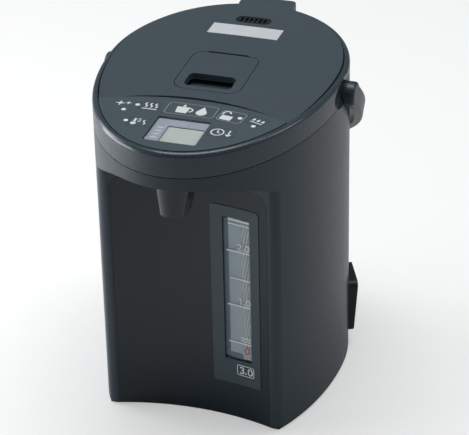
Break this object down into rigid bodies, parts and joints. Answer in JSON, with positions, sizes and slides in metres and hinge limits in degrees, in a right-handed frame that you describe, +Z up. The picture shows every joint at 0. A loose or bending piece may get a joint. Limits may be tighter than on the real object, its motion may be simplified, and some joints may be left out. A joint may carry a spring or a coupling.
{
  "type": "electric thermo pot",
  "caption": "Electric thermo pot with an oval casing, a beak-shaped top with a control panel, a hinged lid, a front water gauge, a spout and a carrying bail.",
  "frame": {"origin": "on the resting surface, under the middle of the pot's overall width and depth", "axes": "+Z up, -Y to the front where the beak and the spout are, +X to the side of the water gauge"},
  "size_m": [0.2166, 0.2987, 0.2852],
  "materials": {
    "casing": "satin pearl grey",
    "front": "glossy dark grey",
    "bezel": "glossy dark grey",
    "window": "clear, slightly grey",
    "scale": "striped grey backing",
    "tube": "clear",
    "float": "red",
    "silicone": "translucent white",
    "spout": "glossy dark grey",
    "nozzle": "black",
    "collar": "glossy pearl grey",
    "panel": "glossy grey",
    "keys": "glossy grey with white marks",
    "lamps": "clear lamp",
    "lcd_glass": "clear",
    "lcd": "greenish grey display",
    "circuit": "green",
    "switch": "black",
    "lid": "glossy pearl grey",
    "inner": "light grey",
    "gasket": "silicone",
    "grille": "black",
    "steel": "drawn",
    "lever": "glossy pearl grey",
    "sticker": "plain white sticker",
    "handle": "glossy grey",
    "vessel": "satin",
    "alloy": "cast",
    "frame_plastic": "dark grey",
    "pump": "natural white",
    "motor": "zinc grey",
    "base": "black",
    "feet": "black",
    "inlet": "black",
    "contact": "plated"
  },
  "bodies": {
    "pot": {"outer_body": "casing", "front_panel": "front", "gauge_bezel": "bezel", "gauge_window": "window", "gauge_scale": "scale", "gauge_tube": "tube", "gauge_cap": "silicone", "gauge_elbow": "silicone", "spout_cover": "spout", "spout_nozzle": "nozzle", "outlet_pipe": "silicone", "shoulder_collar": "collar", "control_panel": "panel", "led_lenses": "lamps", "lcd_window": "lcd_glass", "lcd_module": "lcd", "control_board": "circuit", "tact_switches": "switch", "hinge_pin": "steel", "handle_pins": "steel", "vessel_liner": "vessel", "vessel_jacket": "vessel", "vessel_seal": "gasket", "heater_plate": "alloy", "thermistor": "alloy", "vessel_support": "frame_plastic", "base_screws": "steel", "pump_housing": "pump", "pump_spindle": "steel", "suction_tube": "silicone", "motor_can": "motor", "base_plate": "base", "rubber_feet": "feet", "power_board": "circuit", "power_inlet": "inlet", "inlet_contacts": "contact", "inlet_keepers": "steel"},
    "lid": {"lid_cover": "lid", "lid_inner": "inner", "lid_gasket": "gasket", "steam_grille": "grille", "steam_pipe": "silicone", "valve_cage": "inner", "lever_pin": "steel", "lever_spring": "steel", "latch_spring": "steel", "caution_label": "sticker"},
    "lever": {"lid_lever": "lever"},
    "latch": {"lid_latch": "frame_plastic"},
    "ball": {"valve_ball": "steel"},
    "handle": {"handle_bail": "handle"},
    "float": {"gauge_float": "float"},
    "rotor": {"motor_rotor": "motor"},
    "impeller": {"pump_impeller": "pump"},
    "dispense_key_body": {"dispense_key": "keys"},
    "unlock_key_body": {"unlock_key": "keys"},
    "slow_pour_key_body": {"slow_pour_key": "keys"},
    "reboil_key_body": {"reboil_key": "keys"},
    "keep_warm_key_body": {"keep_warm_key": "keys"},
    "timer_key_body": {"timer_key": "keys"}
  },
  "joints": [
    {"name": "lid_hinge", "type": "hinge", "parent": "pot", "child": "lid", "pos_m": [0, 0.1316, 0.2764], "axis": [-1, 0, 0], "range_deg": [0, 75]},
    {"name": "lever_hinge", "type": "hinge", "parent": "lid", "child": "lever", "pos_m": [0, 0.0184, 0.2826], "axis": [-1, 0, 0], "range_deg": [0, 20], "stiffness_Nm_per_rad": 0.03, "springref_deg": -20.05},
    {"name": "latch_slide", "type": "slide", "parent": "lid", "child": "latch", "axis": [0, 1, 0], "range_m": [0, 0.005]},
    {"name": "valve_ball_slide", "type": "slide", "parent": "lid", "child": "ball", "axis": [0, 0, 1], "range_m": [0, 0.002]},
    {"name": "handle_hinge", "type": "hinge", "parent": "pot", "child": "handle", "pos_m": [0, 0.0216, 0.262], "axis": [1, 0, 0], "range_deg": [0, 130]},
    {"name": "float_slide", "type": "slide", "parent": "pot", "child": "float", "axis": [0, 0, 1], "range_m": [0, 0.12]},
    {"name": "rotor_spin", "type": "hinge", "parent": "pot", "child": "rotor", "pos_m": [0, -0.0254, 0.0136], "axis": [0, 0, 1], "continuous": true},
    {"name": "impeller_spin", "type": "hinge", "parent": "pot", "child": "impeller", "pos_m": [0, -0.0254, 0.034], "axis": [0, 0, 1], "continuous": true},
    {"name": "dispense_key_press", "type": "slide", "parent": "pot", "child": "dispense_key_body", "axis": [0, 0, -1], "range_m": [0, 0.0005], "stiffness_N_per_m": 300, "springref_m": -0.0006},
    {"name": "unlock_key_press", "type": "slide", "parent": "pot", "child": "unlock_key_body", "axis": [0, 0, -1], "range_m": [0, 0.0005], "stiffness_N_per_m": 300, "springref_m": -0.0006},
    {"name": "slow_pour_key_press", "type": "slide", "parent": "pot", "child": "slow_pour_key_body", "axis": [0, 0, -1], "range_m": [0, 0.0005], "stiffness_N_per_m": 300, "springref_m": -0.0006},
    {"name": "reboil_key_press", "type": "slide", "parent": "pot", "child": "reboil_key_body", "axis": [0, 0, -1], "range_m": [0, 0.0005], "stiffness_N_per_m": 300, "springref_m": -0.0006},
    {"name": "keep_warm_key_press", "type": "slide", "parent": "pot", "child": "keep_warm_key_body", "axis": [0, 0, -1], "range_m": [0, 0.0005], "stiffness_N_per_m": 300, "springref_m": -0.0006},
    {"name": "timer_key_press", "type": "slide", "parent": "pot", "child": "timer_key_body", "axis": [0, 0, -1], "range_m": [0, 0.0005], "stiffness_N_per_m": 300, "springref_m": -0.0006}
  ],
  "couplings": [
    {"joint": "latch_slide", "follows": "lever_hinge", "m_per_rad": 0.014324},
    {"joint": "impeller_spin", "follows": "rotor_spin", "ratio": 1}
  ]
}
